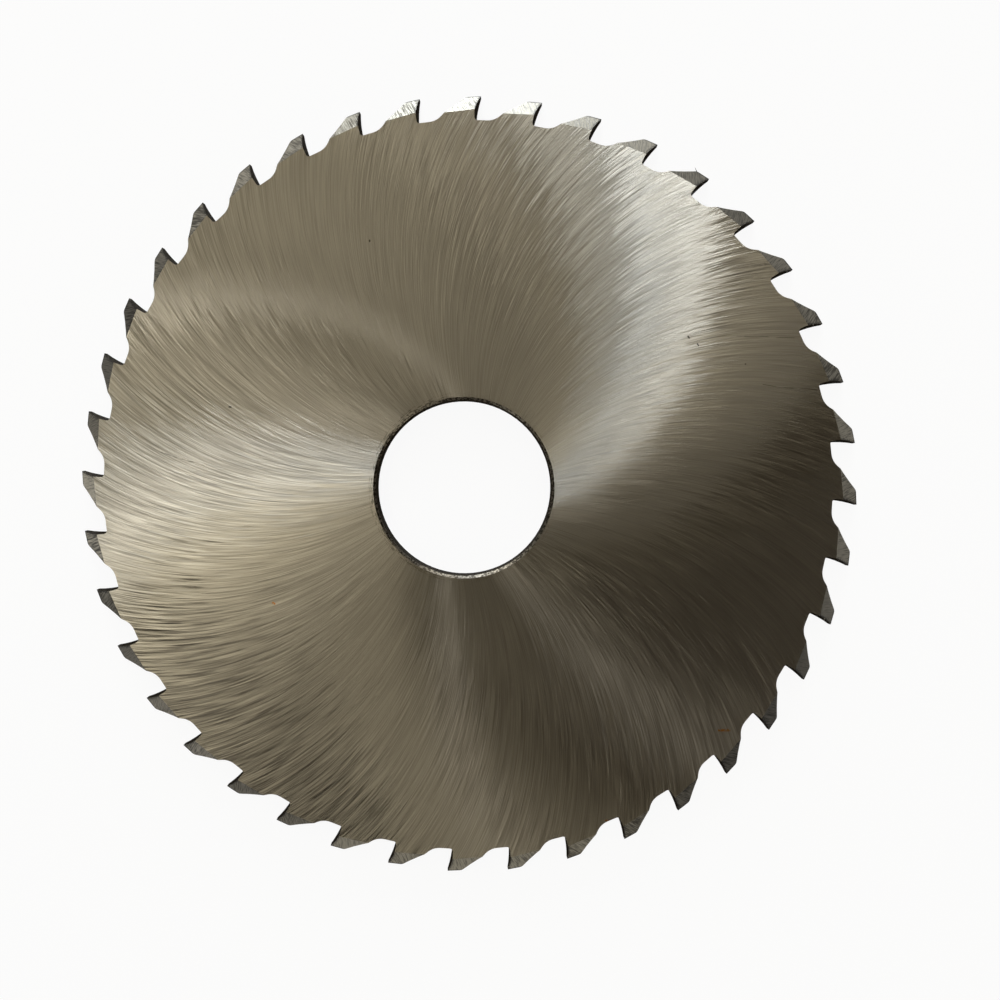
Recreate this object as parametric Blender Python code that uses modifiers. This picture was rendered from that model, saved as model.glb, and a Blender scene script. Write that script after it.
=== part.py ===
# Glazing bead saw blade: one disc of solid tool steel with ground teeth, each bevelled on one side.
# Metres, +Z up. The blade lies flat, bevelled side up, and cuts clockwise as seen from above.
# The origin is on the bore's axis at the underside, and one tooth's tip points along +X.

from math import atan2, ceil, cos, pi, radians, sin, sqrt, tan, tau

import bmesh
import bpy
from mathutils import Matrix, Vector

# Disc
OUTER_DIAMETER = 0.135
THICKNESS = 0.004
BORE_DIAMETER = 0.030
BORE_EDGE_BREAK = 0.0004

# Teeth: every curve of a tooth is an arc, as a round grinding wheel leaves it
TOOTH_COUNT = 40
TOOTH_DEPTH = 0.0057
HOOK_ANGLE = radians(16.0)
RAKE_HOLLOW_RADIUS = 0.0168
LAND_LENGTH = 0.0025
LAND_CLEARANCE = radians(2.0)
BACK_HOLLOW_RADIUS = 0.040
FLOOR_LENGTH = 0.00325
SHOULDER_RADIUS = 0.0008
HEEL_RADIUS = 0.0032
ROOT_RADIUS = 0.0005
GULLET_LEAN = radians(4.0)

# Bevel on the upper side of each tooth: its width is measured inwards from the tip
BEVEL_WIDTH = 0.0038
BEVEL_ANGLE = radians(40.0)
BEVEL_SKEW = radians(8.0)

# Facets and cutters
FACET_TOLERANCE = 0.000012
CUTTER_MARGIN = 0.002
WELD_DISTANCE = 0.000001

# Ground steel
STEEL_COLOUR = (0.32, 0.30, 0.26, 1.0)
STEEL_ROUGHNESS = 0.34

TIP_RADIUS = OUTER_DIAMETER / 2
FLOOR_RADIUS = TIP_RADIUS - TOOTH_DEPTH
BORE_RADIUS = BORE_DIAMETER / 2
PITCH_ANGLE = tau / TOOTH_COUNT


def clear_scene():
    for obj in list(bpy.data.objects):
        bpy.data.objects.remove(obj, do_unlink=True)


def new_collection(name):
    collection = bpy.data.collections.new(name)
    bpy.context.scene.collection.children.link(collection)
    return collection


def direction(angle):
    return Vector((cos(angle), sin(angle)))


def circles_meet(centre_a, radius_a, centre_b, radius_b, near):
    """The one of two circles' meeting points that lies nearer to a given point."""
    between = centre_b - centre_a
    distance = between.length
    along = (distance**2 + radius_a**2 - radius_b**2) / (2 * distance)
    across = sqrt(radius_a**2 - along**2)
    middle = centre_a + between * (along / distance)
    side = Vector((-between.y, between.x)) * (across / distance)
    return min(middle + side, middle - side, key=lambda point: (point - near).length)


def arc_steps(radius, angle):
    widest = 2 * sqrt(2 * FACET_TOLERANCE / radius)
    return max(1, ceil(abs(angle) / widest))


def arc(centre, start, end):
    """Points on the arc about centre, from start up to but not including end."""
    radius = (start - centre).length
    first = atan2(start.y - centre.y, start.x - centre.x)
    last = atan2(end.y - centre.y, end.x - centre.x)
    turn = (last - first + pi) % tau - pi
    steps = arc_steps(radius, turn)
    return [centre + radius * direction(first + turn * i / steps) for i in range(steps)]


def tooth_outline():
    """One pitch of the outline, from the root in front of the tooth at +X to the next tooth's root.

    X is outwards and +Y is behind the tip. The rake, the back and the gullet floor are joined by
    small fillets, and so is the land to the back.
    """
    axis = Vector((0.0, 0.0))
    tip = Vector((TIP_RADIUS, 0.0))
    rake_centre = tip - RAKE_HOLLOW_RADIUS * Vector((sin(HOOK_ANGLE), cos(HOOK_ANGLE)))
    root = circles_meet(rake_centre, RAKE_HOLLOW_RADIUS, axis, FLOOR_RADIUS, tip)
    land_centre = tip - TIP_RADIUS * direction(LAND_CLEARANCE)
    shoulder = land_centre + TIP_RADIUS * direction(LAND_CLEARANCE + LAND_LENGTH / TIP_RADIUS)
    heel = Matrix.Rotation(PITCH_ANGLE - FLOOR_LENGTH / FLOOR_RADIUS, 2) @ root
    next_tip = TIP_RADIUS * direction(PITCH_ANGLE)
    back_centre = circles_meet(
        shoulder, BACK_HOLLOW_RADIUS, heel, BACK_HOLLOW_RADIUS, 2 * next_tip)

    shoulder_centre = circles_meet(
        land_centre, TIP_RADIUS - SHOULDER_RADIUS,
        back_centre, BACK_HOLLOW_RADIUS + SHOULDER_RADIUS, shoulder)
    land_end = land_centre + TIP_RADIUS * (shoulder_centre - land_centre).normalized()
    back_start = back_centre + BACK_HOLLOW_RADIUS * (shoulder_centre - back_centre).normalized()

    heel_centre = circles_meet(
        back_centre, BACK_HOLLOW_RADIUS - HEEL_RADIUS,
        axis, FLOOR_RADIUS + HEEL_RADIUS, next_tip)
    back_end = back_centre + BACK_HOLLOW_RADIUS * (heel_centre - back_centre).normalized()
    floor_start = FLOOR_RADIUS * heel_centre.normalized()

    root_centre = circles_meet(
        rake_centre, RAKE_HOLLOW_RADIUS - ROOT_RADIUS,
        axis, FLOOR_RADIUS + ROOT_RADIUS, root)
    rake_start = rake_centre + RAKE_HOLLOW_RADIUS * (root_centre - rake_centre).normalized()
    root_start = FLOOR_RADIUS * root_centre.normalized()
    floor_end = Matrix.Rotation(PITCH_ANGLE, 2) @ root_start

    return (
        arc(root_centre, root_start, rake_start)
        + arc(rake_centre, rake_start, tip)
        + arc(land_centre, tip, land_end)
        + arc(shoulder_centre, land_end, back_start)
        + arc(back_centre, back_start, back_end)
        + arc(heel_centre, back_end, floor_start)
        + arc(axis, floor_start, floor_end)
    )


def toothed_disc(collection):
    """The flat disc with its teeth, from a 2D curve made into a mesh."""
    one_tooth = tooth_outline()
    outline = []
    for i in range(TOOTH_COUNT):
        turn = Matrix.Rotation(PITCH_ANGLE * i, 2)
        outline += [turn @ point for point in one_tooth]

    curve = bpy.data.curves.new("saw_blade_outline", "CURVE")
    curve.dimensions = "2D"
    curve.fill_mode = "BOTH"
    curve.extrude = THICKNESS / 2
    spline = curve.splines.new("POLY")
    spline.points.add(len(outline) - 1)
    for spline_point, point in zip(spline.points, outline):
        spline_point.co = (point.x, point.y, 0.0, 1.0)
    spline.use_cyclic_u = True
    drawn = bpy.data.objects.new("saw_blade_outline", curve)
    drawn.location.z = THICKNESS / 2
    collection.objects.link(drawn)

    graph = bpy.context.evaluated_depsgraph_get()
    mesh = bpy.data.meshes.new_from_object(drawn.evaluated_get(graph))
    mesh.name = "saw_blade"
    disc = bmesh.new()
    disc.from_mesh(mesh)
    bmesh.ops.remove_doubles(disc, verts=disc.verts, dist=WELD_DISTANCE)
    bmesh.ops.recalc_face_normals(disc, faces=disc.faces)
    # The wheel leans as it grinds the gullets, so a tooth's underside leads its upper face.
    lead = THICKNESS * tan(GULLET_LEAN) / TIP_RADIUS
    underside = [vert for vert in disc.verts if vert.co.z < 0.0]
    bmesh.ops.triangulate(disc, faces=disc.faces)
    bmesh.ops.rotate(disc, verts=underside, matrix=Matrix.Rotation(-lead, 3, "Z"))
    disc.to_mesh(mesh)
    disc.free()
    blade = bpy.data.objects.new("saw_blade", mesh)
    blade.matrix_world = drawn.matrix_world
    collection.objects.link(blade)
    bpy.data.objects.remove(drawn, do_unlink=True)
    return blade


def bore_cutter(collection):
    """A spool turned about Z: the bore, with a flare at each end that breaks the bore's edges."""
    flare = BORE_RADIUS + BORE_EDGE_BREAK + CUTTER_MARGIN
    top = THICKNESS + CUTTER_MARGIN
    profile = [
        (0.0, top),
        (flare, top),
        (BORE_RADIUS, THICKNESS - BORE_EDGE_BREAK),
        (BORE_RADIUS, BORE_EDGE_BREAK),
        (flare, -CUTTER_MARGIN),
        (0.0, -CUTTER_MARGIN),
    ]
    mesh = bpy.data.meshes.new("bore_cutter")
    edges = [(i, i + 1) for i in range(len(profile) - 1)]
    mesh.from_pydata([(radius, 0.0, height) for radius, height in profile], edges, [])
    cutter = bpy.data.objects.new("bore_cutter", mesh)
    collection.objects.link(cutter)
    screw = cutter.modifiers.new("turn", "SCREW")
    screw.axis = "Z"
    screw.steps = arc_steps(BORE_RADIUS, tau)
    screw.render_steps = screw.steps
    screw.use_merge_vertices = True
    screw.merge_threshold = WELD_DISTANCE
    return cutter


def bevel_cutter(collection):
    """One block above each tooth's bevel plane. A block is a little narrower than the pitch."""
    pitch = FLOOR_RADIUS * PITCH_ANGLE
    width = 0.9 * pitch
    middle = 0.32 * pitch
    outside = BEVEL_WIDTH + CUTTER_MARGIN
    inside = CUTTER_MARGIN
    height = 2 * THICKNESS
    size = Matrix.Diagonal((inside + outside, width, height, 1.0))
    on_plane = Matrix.Translation(((outside - inside) / 2, 0.0, height / 2))
    tilted = Matrix.Rotation(BEVEL_ANGLE, 4, "Y")
    skewed = Matrix.Rotation(BEVEL_SKEW, 4, "Z")
    near_edge = TIP_RADIUS - BEVEL_WIDTH - middle * tan(BEVEL_SKEW)
    placed = Matrix.Translation((near_edge, middle, THICKNESS))

    blocks = bmesh.new()
    for i in range(TOOTH_COUNT):
        around = Matrix.Rotation(PITCH_ANGLE * i, 4, "Z")
        matrix = around @ placed @ skewed @ tilted @ on_plane @ size
        bmesh.ops.create_cube(blocks, size=1.0, matrix=matrix)
    mesh = bpy.data.meshes.new("bevel_cutter")
    blocks.to_mesh(mesh)
    blocks.free()
    cutter = bpy.data.objects.new("bevel_cutter", mesh)
    collection.objects.link(cutter)
    return cutter


def cut(blade, name, cutter):
    cutter.hide_render = True
    cutter.display_type = "WIRE"
    boolean = blade.modifiers.new(name, "BOOLEAN")
    boolean.operation = "DIFFERENCE"
    boolean.solver = "EXACT"
    boolean.object = cutter


def ground_steel():
    material = bpy.data.materials.new("ground_steel")
    material.use_nodes = True
    shader = material.node_tree.nodes["Principled BSDF"]
    shader.inputs["Base Color"].default_value = STEEL_COLOUR
    shader.inputs["Roughness"].default_value = STEEL_ROUGHNESS
    shader.inputs["Metallic"].default_value = 1.0
    material.diffuse_color = STEEL_COLOUR
    return material


def main():
    clear_scene()
    parts = new_collection("glazing_bead_saw_blade")
    cutters = new_collection("cutters")
    blade = toothed_disc(parts)
    cut(blade, "bore", bore_cutter(cutters))
    cut(blade, "tooth_bevels", bevel_cutter(cutters))
    blade.data.materials.append(ground_steel())
    blade.data.shade_smooth()
    blade.data.set_sharp_from_angle(angle=radians(30.0))


main()
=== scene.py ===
# Glazing bead saw blade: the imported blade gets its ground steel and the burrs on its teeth, and lies
# bevelled side up on a white table, among soft lights. Metres, Z up.

import math

import bmesh
import bpy
from mathutils import Matrix, Vector


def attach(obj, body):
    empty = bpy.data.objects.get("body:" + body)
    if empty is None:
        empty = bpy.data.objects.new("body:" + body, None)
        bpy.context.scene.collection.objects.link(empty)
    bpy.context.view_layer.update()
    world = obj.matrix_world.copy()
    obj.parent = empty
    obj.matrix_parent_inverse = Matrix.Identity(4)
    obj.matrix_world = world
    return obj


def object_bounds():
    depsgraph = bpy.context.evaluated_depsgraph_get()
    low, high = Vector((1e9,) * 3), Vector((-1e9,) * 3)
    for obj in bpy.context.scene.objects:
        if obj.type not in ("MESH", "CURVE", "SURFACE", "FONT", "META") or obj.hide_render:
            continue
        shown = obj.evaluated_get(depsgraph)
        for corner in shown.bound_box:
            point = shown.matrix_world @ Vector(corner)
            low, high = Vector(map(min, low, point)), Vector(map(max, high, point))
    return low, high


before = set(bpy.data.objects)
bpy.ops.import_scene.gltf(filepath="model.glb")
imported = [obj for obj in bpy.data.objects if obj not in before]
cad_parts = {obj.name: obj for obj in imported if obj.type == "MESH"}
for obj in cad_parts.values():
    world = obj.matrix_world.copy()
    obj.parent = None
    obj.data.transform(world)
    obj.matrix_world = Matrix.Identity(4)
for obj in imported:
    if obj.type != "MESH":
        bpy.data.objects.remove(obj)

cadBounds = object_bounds()
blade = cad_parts["saw_blade"]
print("blade loaded")


class Wire:
    # One output socket. Expressions on it add the Math nodes they need.
    def __init__(self, tree, socket=None):
        self.tree = tree
        self.socket = socket

    def node(self, kind, settings=None, sockets=None, out=0):
        made = self.tree.nodes.new("ShaderNode" + kind)
        for name, value in (settings or {}).items():
            setattr(made, name, value)
        for name, value in (sockets or {}).items():
            if isinstance(value, Wire):
                self.tree.links.new(value.socket, made.inputs[name])
            else:
                made.inputs[name].default_value = value
        return Wire(self.tree, made.outputs[out])

    def sameNode(self, out):
        return Wire(self.tree, self.socket.node.outputs[out])

    def math(self, operation, *values):
        return self.node("Math", {"operation": operation}, dict(enumerate(values)))

    def __add__(self, other):
        return self.math("ADD", self, other)

    def __sub__(self, other):
        return self.math("SUBTRACT", self, other)

    def __mul__(self, other):
        return self.math("MULTIPLY", self, other)

    def __truediv__(self, other):
        return self.math("DIVIDE", self, other)

    def __radd__(self, other):
        return self.math("ADD", other, self)

    def __rsub__(self, other):
        return self.math("SUBTRACT", other, self)

    def __rmul__(self, other):
        return self.math("MULTIPLY", other, self)

    def __rtruediv__(self, other):
        return self.math("DIVIDE", other, self)

    def __gt__(self, other):
        return self.math("GREATER_THAN", self, other)

    def __lt__(self, other):
        return self.math("LESS_THAN", self, other)


def newMaterial(name):
    material = bpy.data.materials.new(name)
    material.use_nodes = True
    return material, material.node_tree.nodes["Principled BSDF"], Wire(material.node_tree)


def showSurface(material, surface):
    output = material.node_tree.nodes["Material Output"]
    material.node_tree.links.new(surface.socket, output.inputs["Surface"])


# The teeth as they are cut, for what follows them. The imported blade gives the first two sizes.
teeth = {
    "tipRadius": cadBounds[1][0],        # one tooth's tip points along +X
    "thickness": cadBounds[1][2],
    "count": 40,
    "hook": math.radians(16.0),
    "rakeHollow": 0.0168,
    "landClearance": math.radians(2.0),
    "bevelAngle": math.radians(40.0),
    "gulletLean": math.radians(4.0),
}
pitch = 2 * math.pi / teeth["count"]

# The centres of a tooth's rake and land: outwards along the tooth's radius, and behind its tip
rakeCentre = (teeth["tipRadius"] - teeth["rakeHollow"] * math.sin(teeth["hook"]),
              -teeth["rakeHollow"] * math.cos(teeth["hook"]))
landCentre = (teeth["tipRadius"] * (1 - math.cos(teeth["landClearance"])),
              -teeth["tipRadius"] * math.sin(teeth["landClearance"]))

steelMaterial, plainShader, steel = newMaterial("groundSteelFine")
steelMaterial.node_tree.nodes.remove(plainShader)


def joined(first, second, third):
    return steel.node("CombineXYZ", sockets={0: first, 1: second, 2: third})


def added(first, second):
    return steel.node("VectorMath", {"operation": "ADD"}, {0: first, 1: second})


def scaled(way, amount):
    return steel.node("VectorMath", {"operation": "SCALE"}, {0: way, "Scale": amount})


def unit(way):
    return steel.node("VectorMath", {"operation": "NORMALIZE"}, {0: way})


def tilted(way, across, slope):
    return unit(added(way, scaled(across, slope)))


def noise(spot, detail=1.0):
    return steel.node("TexNoise", sockets={"Vector": spot, "Scale": 1.0, "Detail": detail, "Roughness": 0.6})


def rise(value, low, high, kind="SMOOTHSTEP"):
    limits = {"Value": value, "From Min": low, "From Max": high}
    return steel.node("MapRange", {"interpolation_type": kind}, limits)


def blend(share, first, second):
    first, second = (tint if isinstance(tint, Wire) else (*tint, 1.0) for tint in (first, second))
    return steel.node("Mix", {"data_type": "RGBA"}, {0: share, 6: first, 7: second}, out=2)


def between(share, pair):
    return blend(share, pair["colour"], pair["shade"])


def mixed(share, first, second):
    return steel.node("MixShader", sockets={0: share, 1: first, 2: second})


def steelShader(colour, roughness, normal, brushed=0.0, turn=0.0, metal=1.0):
    return steel.node("BsdfPrincipled", sockets={
        "Base Color": colour, "Roughness": roughness, "Metallic": metal, "Normal": normal,
        "Anisotropic": brushed, "Anisotropic Rotation": (turn / 360.0) % 1.0, "Specular IOR Level": 0.0})


# Where a spot of the steel lies and which way it faces
here = steel.node("TexCoord", out="Object")
facing = steel.node("NewGeometry", out="True Normal")
x, y, z = (steel.node("SeparateXYZ", sockets={0: here}, out=axis) for axis in "XYZ")
upward = steel.node("SeparateXYZ", sockets={0: facing}, out="Z")
radius = steel.math("SQRT", x * x + y * y)
bearing = steel.math("ARCTAN2", y, x)

# The zones of the blade: its flat sides, its upright edges, and what slants between them, at the rim of the
# bore or at the teeth. The first two limits are of the normal's Z, and the last is a radius.
zones = {"flatAbove": 0.95, "edgeBelow": 0.5, "rimWithin": 0.04}
onSide = steel.math("ABSOLUTE", upward) > zones["flatAbove"]
onTop = upward > zones["flatAbove"]
onEdge = steel.math("ABSOLUTE", upward) < zones["edgeBelow"]
slanted = (1 - onSide) * (1 - onEdge)
onRim = slanted * (radius < zones["rimWithin"])
onBevel = slanted * (radius > zones["rimWithin"])

# A spot's place on its own tooth: outwards along the tooth's radius, and behind its tip
tooth = steel.math("FLOOR", bearing / pitch)
turned = bearing - tooth * pitch
alongTooth = radius * steel.math("COSINE", turned)
behindTip = radius * steel.math("SINE", turned)
chance = steel.node("TexWhiteNoise", {"noise_dimensions": "1D"}, {"W": tooth}, out="Value")


def fromCentre(centre):
    out, back = alongTooth - centre[0], behindTip - centre[1]
    return steel.math("SQRT", out * out + back * back)


def patches(perMetre, detail=1.0, height=0.0):
    return noise(joined(x * perMetre, y * perMetre, height), detail)


grainPerMetre = 2500.0
grain = patches(grainPerMetre, 2.0, z * grainPerMetre)

# Wear on the bevelled side. Scratches, pits and rust each run from one place to another, in millimetres from
# the bore's axis. A fade is where a mark begins to weaken and where it has gone.
wear = {
    "scratches": (((44.7, 27.2), (55.1, 27.3)), ((49.4, 19.3), (60.5, 18.4)), ((-52.0, 4.0), (-44.5, 2.0))),
    "scratchFade": (0.00002, 0.00012),
    "scratchDepth": 0.6,
    "wander": (220.0, 0.0008),           # waves per metre, and how far a scratch wanders
    "faint": (500.0, 0.32, 0.50),        # patches per metre, and where they break a scratch
    "pits": (((46.3, 22.6), (46.35, 22.6)), ((36.6, 26.9), (36.8, 26.6)), ((38.2, 25.7), (38.4, 25.4)),
             ((12.1, 8.5), (12.2, 8.6)), ((-17.5, 41.0), (-17.5, 41.2)), ((-40.5, 12.2), (-40.2, 12.2))),
    "pitFade": (0.00006, 0.00018),
    "rust": (((44.8, -39.2), (46.5, -39.1)), ((26.5, -55.6), (27.0, -55.8)),
             ((-31.8, -21.0), (-31.6, -21.1))),
    "rustFade": (0.00008, 0.0003),
    "rustGrain": (0.38, 0.46),
    "specks": 85.0,                      # cells per metre, each with a speck or none
    "speckChance": 0.45,
    "speckFade": (0.006, 0.016),         # in cells
    "speckDepth": 0.75,
    "scuffs": (14.0, 7000.0),            # round the bore, per radian and per metre outwards
    "scuffGrain": (0.52, 0.60),
    "scuffFade": (0.0156, 0.0165),
    "scuffShadeLeft": (0.0, 0.008),           # painted shade: the scuffs darken over this stretch towards -X
    "scuffShadeLeast": 0.25,
    "scuffDepth": 0.7,
    "darkColour": (0.03, 0.025, 0.02),
    "rustColour": (0.42, 0.18, 0.05),
}


def nearTo(start, end, fade, wander=0.0):
    (ax, ay), (bx, by) = ((v / 1000 for v in place) for place in (start, end))
    dx, dy = bx - ax, by - ay
    along = steel.node("Clamp", sockets={0: ((x - ax) * dx + (y - ay) * dy) / (dx * dx + dy * dy)})
    gapX, gapY = x - ax - along * dx, y - ay - along * dy + wander
    return 1 - rise(steel.math("SQRT", gapX * gapX + gapY * gapY), *fade)


def specks():
    distance = steel.node("TexVoronoi", sockets={"Vector": here, "Scale": wear["specks"]}, out="Distance")
    cell = steel.node("SeparateColor", sockets={0: distance.sameNode("Color")}, out=0)
    return (1 - rise(distance, *wear["speckFade"])) * (cell > 1 - wear["speckChance"]) * wear["speckDepth"]


# Scuffs round the bore are wear, and their darkening towards -X is painted shade
def scuffs():
    around, outwards = wear["scuffs"]
    cosBearing, sinBearing = steel.math("COSINE", bearing), steel.math("SINE", bearing)
    ringWise = joined(cosBearing * around, sinBearing * around, radius * outwards)
    lines = rise(noise(ringWise, 2.0), *wear["scuffGrain"]) * (1 - rise(radius, *wear["scuffFade"]))
    leftShade = wear["scuffShadeLeast"] + (1 - wear["scuffShadeLeast"]) * rise(-1 * x, *wear["scuffShadeLeft"])
    return lines * leftShade * wear["scuffDepth"]


def wornAndShadedMarks():
    waves, aside = wear["wander"]
    wander = (patches(waves) - 0.5) * aside
    perMetre, gone, whole = wear["faint"]
    faint = rise(patches(perMetre, height=3.0), gone, whole) * wear["scratchDepth"]
    dark, rust = 0.0, 0.0
    for start, end in wear["scratches"]:
        dark = steel.math("MAXIMUM", dark, nearTo(start, end, wear["scratchFade"], wander) * faint)
    for start, end in wear["pits"]:
        dark = steel.math("MAXIMUM", dark, nearTo(start, end, wear["pitFade"]))
    for start, end in wear["rust"]:
        fleck = nearTo(start, end, wear["rustFade"]) * rise(grain, *wear["rustGrain"])
        rust = steel.math("MAXIMUM", rust, fleck)
    dark = steel.math("MAXIMUM", steel.math("MAXIMUM", dark, specks()), scuffs())
    return dark * onTop, rust * onTop


# The two sides. The wheel's lines are arcs of one radius, whose centres lie on a circle round the bore.
side = {
    "arcRadius": 0.0554,
    "arcCentre": 0.060,
    "colour": (0.415, 0.385, 0.337),
    "shade": (0.272, 0.252, 0.219),
    "roughness": 0.28,
    "brushed": 1.0,
    # lines per radian of turn, lines per metre outwards, detail, and how far they tilt the surface
    "fine": (300.0, 90.0, 1.0, 0.42),
    "broad": (120.0, 40.0, 2.0, 0.12),
    "glint": (360.0, 150.0, 1.0, 0.44),
    "fineShadeSlope": 0.061,                   # painted shade: a line is all shade at this slope, and all colour at minus as much
    "broadShadeSlope": 0.025,
    "fineShare": 0.8,
    "grooveWall": 0.44,                  # how steep the grooves' walls are, beside their ridges
    "wallShare": 0.54,
    "wallBalance": 0.5,
    "rings": 6,                          # the sheen turns with the lines, ring by ring
    "ringFrom": 0.016,
    "ringTo": 0.066,
}


def sideSurface():
    centre, arc = side["arcCentre"], side["arcRadius"]
    ahead = steel.math("ARCCOSINE", (radius * radius + (centre ** 2 - arc ** 2)) / (radius * (2 * centre)))
    label = bearing - ahead              # the bearing of a line's centre tells one line from another
    cosLabel, sinLabel = steel.math("COSINE", label), steel.math("SINE", label)
    outX, outY = (x - cosLabel * centre) / arc, (y - sinLabel * centre) / arc
    across, along = joined(outX, outY, 0.0), joined(-1 * outY, outX, 0.0)

    def lines(kind):
        count, perMetre, detail, slope = side[kind]
        return (noise(joined(cosLabel * count, sinLabel * count, radius * perMetre), detail) - 0.5) * slope

    fine, broad = lines("fine"), lines("broad")
    # Tone that varies from line to line, made darker where a line tilts one way: painted shade on the lines
    tone = rise(fine, -side["fineShadeSlope"], side["fineShadeSlope"], "LINEAR") * side["fineShare"] \
        + rise(broad, -side["broadShadeSlope"], side["broadShadeSlope"]) * (1 - side["fineShare"])
    dark, rust = wornAndShadedMarks()
    colour = blend(rust, blend(dark, between(tone, side), wear["darkColour"]), wear["rustColour"])

    way = added(facing, scaled(along, lines("glint")))
    ridge, oneWall, otherWall = (tilted(way, across, fine + broad + steep)
                                 for steep in (0.0, -side["grooveWall"], side["grooveWall"]))

    def sheen(r):
        turn = -math.degrees(math.asin((r ** 2 + arc ** 2 - centre ** 2) / (2 * r * arc)))
        ridges, *walls = (steelShader(colour, side["roughness"], normal, side["brushed"], turn)
                          for normal in (ridge, oneWall, otherWall))
        return mixed(side["wallShare"], ridges, mixed(side["wallBalance"], *walls))

    step = (side["ringTo"] - side["ringFrom"]) / (side["rings"] - 1)
    radii = [side["ringFrom"] + step * i for i in range(side["rings"])]
    surface = sheen(radii[0])
    for before, r in zip(radii, radii[1:]):
        surface = mixed(rise(radius, before, r, "LINEAR"), surface, sheen(r))
    return surface


# The bevels, ground across and leaning back, with a ragged dark outline at the rake and the land
# The bevels' colours are far darker than the sides' steel: painted shade for the dark surroundings they
# reflect
bevel = {
    "colour": (0.128, 0.120, 0.102),
    "shade": (0.056, 0.052, 0.045),
    "outlineColour": (0.012, 0.011, 0.010),
    "roughness": 0.35,
    "brushed": 0.7,
    "lines": (6000.0, 400.0),            # per metre across a tooth's lines and along them
    "toothStep": 7.3,                    # gives each tooth lines of its own
    "slope": 0.85,
    "lean": math.radians(17.0),
    "leanSpread": 0.35,                  # from tooth to tooth, in radians
    "lift": 0.50,                        # slanted metal is shaded as if it faced a little more upwards
    "liftSpread": 0.12,
    "toothShade": 0.5,
    "lineShade": 6.0,
    "ragged": 5500.0,
    "outline": 0.00024,
    "outlineDepth": 0.9,
    "chipsFrom": 0.45,
    "chipReach": 0.002,
    "chipFade": 0.0002,
}
lifted = added(facing, joined(0.0, 0.0, bevel["lift"] + (chance - 0.5) * bevel["liftSpread"]))


def bevelOutline():
    underTop = (teeth["thickness"] - z) * math.tan(teeth["gulletLean"])
    fromRake = fromCentre(rakeCentre) - teeth["rakeHollow"] + underTop
    fromLand = teeth["tipRadius"] - fromCentre(landCentre)
    ragged = patches(bevel["ragged"], 2.0)
    outline = 1 - rise(fromLand - ragged * bevel["outline"], 0.0, bevel["outline"])
    chips = 1 - rise(fromRake - (ragged - bevel["chipsFrom"]) * bevel["chipReach"], 0.0, bevel["chipFade"])
    return steel.math("MAXIMUM", outline, chips) * bevel["outlineDepth"]


def bevelSurface():
    lean = bevel["lean"] + (chance - 0.5) * bevel["leanSpread"]
    cosLean, sinLean = steel.math("COSINE", lean), steel.math("SINE", lean)
    aside = tooth * pitch + (math.pi / 2) + lean
    across = joined(steel.math("COSINE", aside), steel.math("SINE", aside), 0.0)
    perAcross, perAlong = bevel["lines"]
    spotAcross = (behindTip * cosLean - alongTooth * sinLean) * perAcross
    spotAlong = (alongTooth * cosLean + behindTip * sinLean) * perAlong
    lines = noise(joined(spotAcross, spotAlong, tooth * bevel["toothStep"])) - 0.5
    # A random tone for each tooth, and painted shade on the lines, darker where they tilt one way
    toothToneAndLineShade = steel.math("MAXIMUM", chance * bevel["toothShade"] + lines * bevel["lineShade"], 0.0)
    colour = blend(bevelOutline(), between(toothToneAndLineShade, bevel), bevel["outlineColour"])
    normal = tilted(lifted, across, lines * bevel["slope"])
    return steelShader(colour, bevel["roughness"], normal, bevel["brushed"], math.degrees(bevel["lean"]))


# The broken edge round the bore, and the upright faces of the rakes, gullets and bore in painted shade
rim = {"colour": (0.30, 0.28, 0.25), "shade": (0.07, 0.063, 0.055), "roughness": 0.3, "grain": (0.42, 0.58)}
# Painted shade: the upright faces are near black and not metal, for the dark surroundings their steel
# reflects
edge = {"colour": (0.024, 0.021, 0.018), "shade": (0.055, 0.048, 0.042), "roughness": 0.6,
        "grain": (0.45, 0.65)}


def rimSurface():
    return steelShader(between(rise(grain, *rim["grain"]), rim), rim["roughness"], unit(lifted))


# Painted shade on the upright faces: a dull near-black colour in place of reflecting steel
def uprightShadeSurface():
    return steelShader(between(rise(grain, *edge["grain"]), edge), edge["roughness"], facing, metal=0.0)


def groundSteel():
    surface = mixed(onBevel, sideSurface(), bevelSurface())
    surface = mixed(onRim, surface, rimSurface())
    showSurface(steelMaterial, mixed(onEdge, surface, uprightShadeSurface()))
    for holder in blade.material_slots:
        holder.material = steelMaterial


groundSteel()
print("ground steel")

# Burrs left by the wheel. Each place is a tooth, counted from the one at +X, then how far down its rake from
# the tip and how long, in millimetres, and how far it leans from straight ahead of the rake, in degrees.
burrs = {
    "places": ((1, 0.9, 0.35, 20), (2, 0.6, 0.40, 60), (3, 0.5, 0.30, 50), (3, 2.6, 0.35, 0),
               (4, 1.6, 0.45, 10), (5, 1.0, 0.35, 30), (5, 1.5, 0.30, 0), (6, 2.2, 0.40, 5),
               (9, 0.7, 0.35, 40), (9, 1.3, 0.30, 20), (14, 0.5, 0.30, 40), (17, 0.6, 0.35, 55),
               (20, 1.2, 0.30, 10), (31, 1.0, 0.30, 20), (38, 2.4, 0.40, 0)),
    "root": 0.00007,
    "point": 0.000015,
    "sides": 6,
    "standOut": 0.35,                    # how far out its middle stands, as a share of its length
    "upwards": 0.15,
    "twist": 0.3,
    "tipHeight": 0.0008,                 # how high the bevel is above the underside at the tip
    "colour": (0.30, 0.28, 0.25),
    "shade": (0.05, 0.045, 0.04),
    "roughness": 0.35,
    "mottle": 9000.0,
}

# One longer sliver stands off a tooth's shoulder
curl = {
    "tooth": 6,
    "down": 0.00025,
    "back": 0.0023,
    "height": 0.00085,
    "way": (0.45, 1.0, 0.2),             # outwards, backwards and up
    "length": 0.0008,
}


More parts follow.
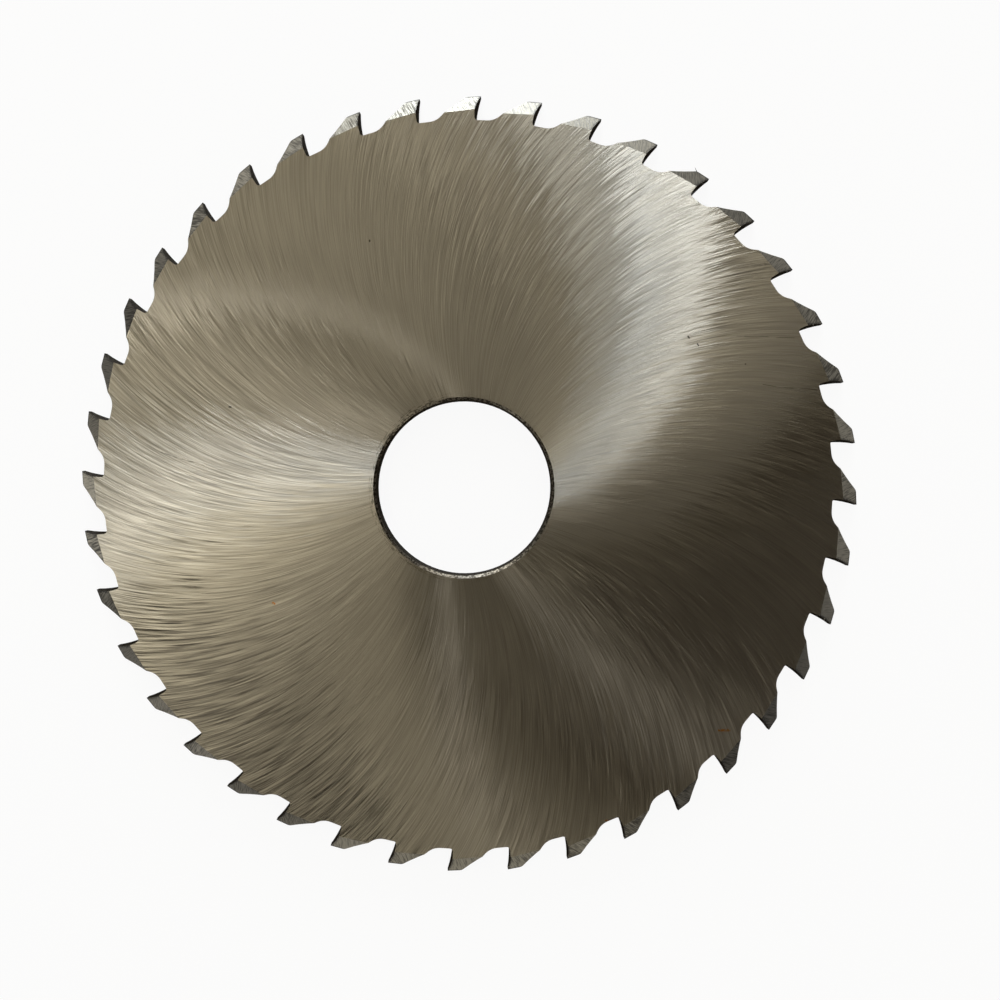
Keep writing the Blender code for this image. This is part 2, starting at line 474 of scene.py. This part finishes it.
def burrSteel():
    material, shader, wire = newMaterial("burrSteel")
    spot = wire.node("TexCoord", out="Object")
    mottle = wire.node("TexNoise", sockets={"Vector": spot, "Scale": burrs["mottle"]})
    tints = {0: mottle, 6: (*burrs["shade"], 1.0), 7: (*burrs["colour"], 1.0)}
    tone = wire.node("Mix", {"data_type": "RGBA"}, tints, out=2)
    wire.tree.links.new(tone.socket, shader.inputs["Base Color"])
    shader.inputs["Metallic"].default_value = 1.0
    shader.inputs["Roughness"].default_value = burrs["roughness"]
    return material


def toothBurrs():
    shape = bmesh.new()

    def sliver(number, out, back, height, way, length):
        turn = Matrix.Rotation(pitch * number, 4, "Z")
        ahead = (turn.to_3x3() @ Vector(way)).normalized()
        middle = turn @ Vector((out, back, height)) + ahead * length * burrs["standOut"]
        upright = ahead.to_track_quat("Z", "Y").to_matrix().to_4x4()
        place = Matrix.Translation(middle) @ upright @ Matrix.Rotation(burrs["twist"] * number, 4, "Z")
        bmesh.ops.create_cone(shape, cap_ends=True, segments=burrs["sides"], radius1=burrs["root"],
                              radius2=burrs["point"], depth=length, matrix=place)

    for number, down, length, lean in burrs["places"]:
        out = teeth["tipRadius"] - down / 1000
        height = burrs["tipHeight"] + down / 1000 * math.tan(teeth["bevelAngle"])
        back = rakeCentre[1] + math.sqrt(teeth["rakeHollow"] ** 2 - (out - rakeCentre[0]) ** 2)
        back -= (teeth["thickness"] - height) * math.tan(teeth["gulletLean"])
        lean = math.radians(lean)
        sliver(number, out, back, height, (math.sin(lean), -math.cos(lean), burrs["upwards"]), length / 1000)
    out = teeth["tipRadius"] - curl["down"]
    sliver(curl["tooth"], out, curl["back"], curl["height"], curl["way"], curl["length"])

    bmesh.ops.recalc_face_normals(shape, faces=shape.faces)
    mesh = bpy.data.meshes.new("tooth_burrs")
    shape.to_mesh(mesh)
    shape.free()
    mesh.materials.append(burrSteel())
    piece = bpy.data.objects.new("tooth_burrs", mesh)
    bpy.context.scene.collection.objects.link(piece)
    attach(piece, "root")


toothBurrs()
print("burrs")

table = {"radius": 6.0, "sides": 96, "colour": (0.9, 0.9, 0.9), "roughness": 0.9, "seen": 0.93}


def whiteTable():
    shape = bmesh.new()
    bmesh.ops.create_circle(shape, cap_ends=True, segments=table["sides"], radius=table["radius"])
    mesh = bpy.data.meshes.new("table")
    shape.to_mesh(mesh)
    shape.free()
    floor = bpy.data.objects.new("table", mesh)
    bpy.context.scene.collection.objects.link(floor)
    material, shader, wire = newMaterial("whiteTable")
    shader.inputs["Base Color"].default_value = (*table["colour"], 1.0)
    shader.inputs["Roughness"].default_value = table["roughness"]
    shader.inputs["Specular IOR Level"].default_value = 0.0
    rays = wire.node("LightPath", out="Is Camera Ray") + wire.node("LightPath", out="Is Glossy Ray") \
        + wire.node("LightPath", out="Is Transmission Ray")
    glow = wire.node("Emission", sockets={"Color": (1.0, 1.0, 1.0, 1.0), "Strength": 1.0})
    plain = Wire(material.node_tree, shader.outputs[0])
    showSurface(material, wire.node("MixShader", sockets={0: rays * table["seen"], 1: plain, 2: glow}))
    mesh.materials.append(material)


whiteTable()
print("table")

# The camera as the photograph was taken: above the blade, a little off its axis and turned from it
camera = {
    "lens": 24.425,
    "sensor": 36.0,
    "shift": (0.0295, -0.0135),
    "height": 0.115,
    "aside": (-0.0011886, -0.0002381),
    "tilt": (0.0175, -0.02446),
    "bladeTurn": math.radians(-2.30),
    "nearest": 0.005,
}


def placeCamera():
    data = bpy.data.cameras.new("camera")
    data.lens = camera["lens"]
    data.sensor_width = camera["sensor"]
    data.shift_x, data.shift_y = camera["shift"]
    data.clip_start = camera["nearest"]
    seen = Matrix.Rotation(camera["tilt"][1], 3, "Y") @ Matrix.Rotation(camera["tilt"][0], 3, "X") \
        @ Matrix.Rotation(camera["bladeTurn"], 3, "Z")
    looking = seen.transposed()
    topFace = Vector((0.0, 0.0, teeth["thickness"]))
    spot = topFace - looking @ Vector((*camera["aside"], -camera["height"]))
    eye = bpy.data.objects.new("camera", data)
    eye.matrix_world = Matrix.Translation(spot) @ looking.to_4x4()
    bpy.context.scene.collection.objects.link(eye)
    bpy.context.scene.camera = eye


placeCamera()

# The lamps' colours: daylight, what it lights near the window, the pale walls and the yellow ceiling
daylight = (0.92, 1.00, 1.07)
paleDay = (0.97, 1.00, 0.96)
pale = (1.00, 0.97, 0.88)
cream = (1.00, 0.95, 0.80)
yellow = (1.00, 0.93, 0.72)

# Soft lights round the blade. Each is seen from the bore at a bearing and a height, and is so wide and so
# high, in degrees as the photograph shows the blade, and has a radiance and a colour.
room = {
    "windowLeft": (99.4, 13, 8.2, 22, 22.5, daylight),
    "windowRight": (88.2, 13, 8.6, 22, 22.5, daylight),
    "windowTop": (109, 32.5, 10.5, 15, 7.5, paleDay),
    "blindLeft": (120.5, 48, 13.5, 20, 2.7, yellow),
    "ceilingLeft": (139, 59, 14.5, 12, 3.0, yellow),
    "ceilingMiddle": (160, 69.5, 14, 22, 1.6, yellow),
    "blindRight": (78, 42, 13, 12.5, 3.7, cream),
    "ceilingRight": (51.5, 60, 27, 12.5, 1.0, yellow),
    "ceilingNear": (209, 66.5, 32, 11.5, 1.3, yellow),
    "doorway": (186.5, 9, 4, 13, 17.5, pale),
    "wallLamp": (224, 11, 4, 14, 11, pale),
    "wallTop": (236, 41, 10, 8, 1.9, cream),
    "paleWall": (266.5, 4.8, 48, 7, 2.9, cream),
    "shelfLamp": (299, 21.5, 19.5, 11, 3.5, yellow),
    "sillLeft": (127, 4.5, 34, 7, 5, pale),
    "sillRight": (66, 4.5, 22, 7, 6, pale),
    "shelfTop": (311, 38, 10.5, 16.5, 1.4, yellow),
    "windowFoot": (96, 5, 30, 8, 6, paleDay),
    "lowRight": (12, 5, 60, 8, 2, pale),
}
lampDistance = 2.0
worldColour = (0.056, 0.045, 0.031)


def softLights():
    for name, (azimuth, elevation, wide, high, radiance, colour) in room.items():
        data = bpy.data.lights.new(name, "AREA")
        data.shape = "RECTANGLE"
        data.size = 2 * lampDistance * math.tan(math.radians(wide / 2))
        data.size_y = 2 * lampDistance * math.tan(math.radians(high / 2))
        data.color = colour
        data.energy = radiance * math.pi * data.size * data.size_y
        turn = math.radians(azimuth) - camera["bladeTurn"]
        up = math.radians(elevation)
        way = Vector((math.cos(up) * math.cos(turn), math.cos(up) * math.sin(turn), math.sin(up)))
        lamp = bpy.data.objects.new(name, data)
        lamp.location = way * lampDistance
        lamp.rotation_euler = (-way).to_track_quat("-Z", "Y").to_euler()
        lamp.visible_camera = False
        bpy.context.scene.collection.objects.link(lamp)


def dimWorld():
    world = bpy.data.worlds.new("room")
    world.use_nodes = True
    world.node_tree.nodes["Background"].inputs["Color"].default_value = (*worldColour, 1.0)
    bpy.context.scene.world = world


softLights()
dimWorld()
bpy.context.scene.view_settings.view_transform = "Standard"
print("lights and camera")
